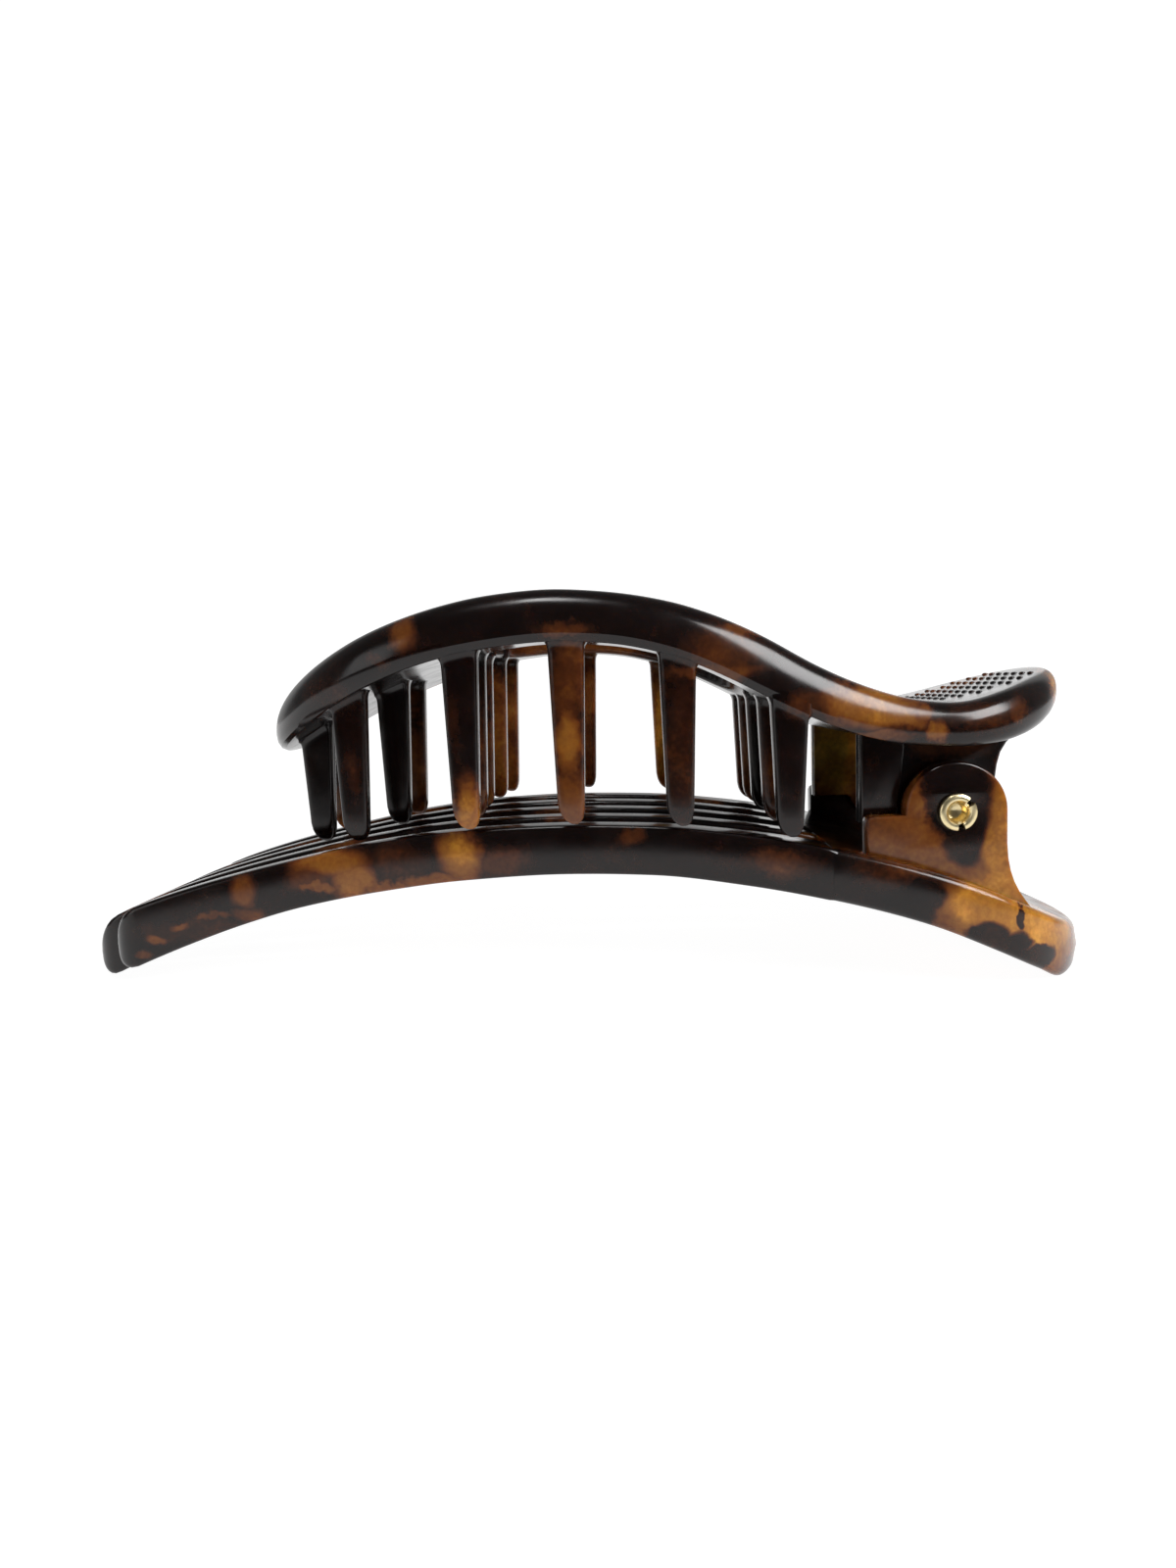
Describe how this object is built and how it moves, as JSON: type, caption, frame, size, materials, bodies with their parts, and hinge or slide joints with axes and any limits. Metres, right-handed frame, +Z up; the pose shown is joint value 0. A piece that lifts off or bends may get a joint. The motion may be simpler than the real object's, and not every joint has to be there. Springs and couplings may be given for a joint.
{
  "type": "hair clip",
  "caption": "Flat claw hair clip: arched base arm with long prongs, domed upper arm with a rounded opening, hanging teeth and a thumb plate, on a sprung hinge with a hollow rivet.",
  "frame": {"origin": "centre of the bounding box in plan, on the table that the closed clip lies on", "axes": "+X from the prong tips to the hinge end, +Y across the clip, +Z up"},
  "size_m": [0.116, 0.039, 0.0425],
  "materials": {
    "tortoiseshell": "polished, mottled amber and dark brown",
    "brass": "bright",
    "spring_steel": "plain drawn wire"
  },
  "bodies": {
    "base": {"base_arm": "tortoiseshell", "hinge_rivet": "brass", "spring_coil": "spring_steel"},
    "upper": {"upper_arm": "tortoiseshell", "spring_end": "spring_steel"}
  },
  "joints": [
    {"name": "jaw_hinge", "type": "hinge", "parent": "base", "child": "upper", "pos_m": [0.0406, 0, 0.01835], "axis": [0, 1, 0], "range_deg": [0, 50], "stiffness_Nm_per_rad": 0.1, "springref_deg": -34.38}
  ]
}
